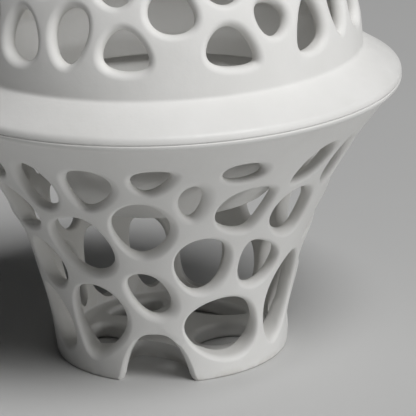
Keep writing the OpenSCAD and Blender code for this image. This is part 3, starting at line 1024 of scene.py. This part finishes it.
finished("holder_openwork", cut_away(holder, cutter), "holder", "holder", bisque)

# Inner cup: base, outer side, flange, mouth and well
cup_profile = [
    (0, CUP_BASE_Z, 0), (MID_R, CUP_BASE_Z, 0),
    (CUP_BASE_R - 0.6, CUP_BASE_Z, 0.8), (CUP_BASE_R, CUP_BASE_Z + 1, 0.5),
    (CUP_MOUTH_R + CUP_SIDE, CUP_NECK_Z, 0.8), (CUP_MOUTH_R + CUP_SIDE, LEDGE_Z, 0.3),
    (FLANGE_R, LEDGE_Z, 0.25), (FLANGE_R, FLANGE_Z, 0.4),
    (CUP_MOUTH_R, FLANGE_Z, 0.5), (CUP_MOUTH_R, CUP_NECK_Z, 0.8),
    (CUP_BASE_R - 0.85, CUP_WELL_Z + 1, 0.8), (CUP_BASE_R - 1.9, CUP_WELL_Z, 0.9),
    (MID_R, CUP_WELL_Z, 0), (0, CUP_WELL_Z, 0),
]
inner_cup = bmesh.new()
turned(inner_cup, eased(cup_profile, CUP_ROUND_STEPS))
finished("inner_cup_turned", inner_cup, "inner_cup", "inner_cup", bisque)

# Lid: pierced dome, sloping brim and the ring that locates it
DOME_SIZES = {
    "Wall thickness": DOME_T, "Lip width": DOME_LIP_WIDTH, "Lip depth": LIP_DEPTH,
    "Inner width": INNER_WIDTH, "Inner depth": INNER_DEPTH,
    "Dome radius": DOME_R, "Dome height": DOME_Z, "Slimmer": SLIM,
    **{label: disc_reach(math.radians(angle)) for label, angle in DOME_SLIM.items()},
    **DOME_SLIM_END,
}
CREASE_R = math.sqrt(DOME_R ** 2 - (DOME_Z - CREASE_Z) ** 2)
RING_INSIDE = RING_R - RING_T
RING_LOW = HOLDER_H - RING_H
brim_profile = [
    *((*dome_section(elevation), 0) for elevation in (DOME_START, *DOME_FOOT)),
    (CREASE_R, CREASE_Z + 0.05, 0.4), (CREASE_R + 0.5, CREASE_Z - 0.25, 0),
    (LIP_R - 1.6, BRIM_Z + 0.93, 0), (LIP_R - 0.02, BRIM_Z, 0.6), (LIP_R, HOLDER_H, 0.22),
    (BRIM_MID_R, HOLDER_H, 0), (RING_R, HOLDER_H, 0.25), (RING_R, RING_LOW, 0.4),
    (RING_INSIDE, RING_LOW, 0.4), (RING_INSIDE, HOLDER_H, 0.8),
    (DOME_R - DOME_T - 0.12, CREASE_Z, 0.3), (DOME_R - DOME_T, DOME_Z, 0),
]
lid_plan = plan_mesh("lid_plan", DOME_PATTERN, [disc_reach(DOME_START)], [disc_reach(0.0)])
dome_tree = openwork_tree("openwork_dome", bend_to_dome, DOME_SIZES, bisque)
lid = grown_mesh(lid_plan, dome_tree, DOME_SIZES)
turned(lid, eased(brim_profile))
finished("lid_openwork", lid, "lid", "lid", bisque)

# Camera
camera_data = bpy.data.cameras.new("camera")
camera_data.lens = VIEW_LENS
camera_data.sensor_width = VIEW_SENSOR
camera_data.clip_start = VIEW_NEAR
camera = placed("camera", camera_data)
bpy.context.scene.camera = camera
level = math.cos(VIEW_DROP)
ahead = Vector((math.sin(VIEW_TURN) * level, math.cos(VIEW_TURN) * level, -math.sin(VIEW_DROP)))
spin = ahead.to_track_quat("-Z", "Y").to_matrix().to_4x4() @ Matrix.Rotation(-VIEW_ROLL, 4, "Z")
camera.matrix_world = Matrix.Translation(VIEW_AIM - ahead * VIEW_DISTANCE) @ spin

# Floor and light
floor_mesh = bpy.data.meshes.new("floor")
floor_corners = [(x * TABLE_HALF, y * TABLE_HALF, 0) for x, y in ((-1, -1), (1, -1), (1, 1), (-1, 1))]
floor_mesh.from_pydata(floor_corners, [], [(0, 1, 2, 3)])
floor_mesh.materials.append(table_finish())
floor = placed("floor", floor_mesh)

for name, (toward, distance, width, height, power) in SOFT_BOXES.items():
    lamp_data = bpy.data.lights.new(name, "AREA")
    lamp_data.shape = "RECTANGLE"
    lamp_data.size, lamp_data.size_y = width, height
    lamp_data.energy = power
    lamp = placed(name, lamp_data)
    toward = Vector(toward).normalized()
    lamp.location = LAMP_AIM + toward * distance
    lamp.rotation_euler = (-toward).to_track_quat("-Z", "Y").to_euler()
world = bpy.data.worlds.new("studio")
bpy.context.scene.world = world
world.use_nodes = True
background = world.node_tree.nodes["Background"]
background.inputs["Color"].default_value = STUDIO_COLOUR
background.inputs["Strength"].default_value = STUDIO_STRENGTH

bpy.context.scene.view_settings.view_transform = "Standard"
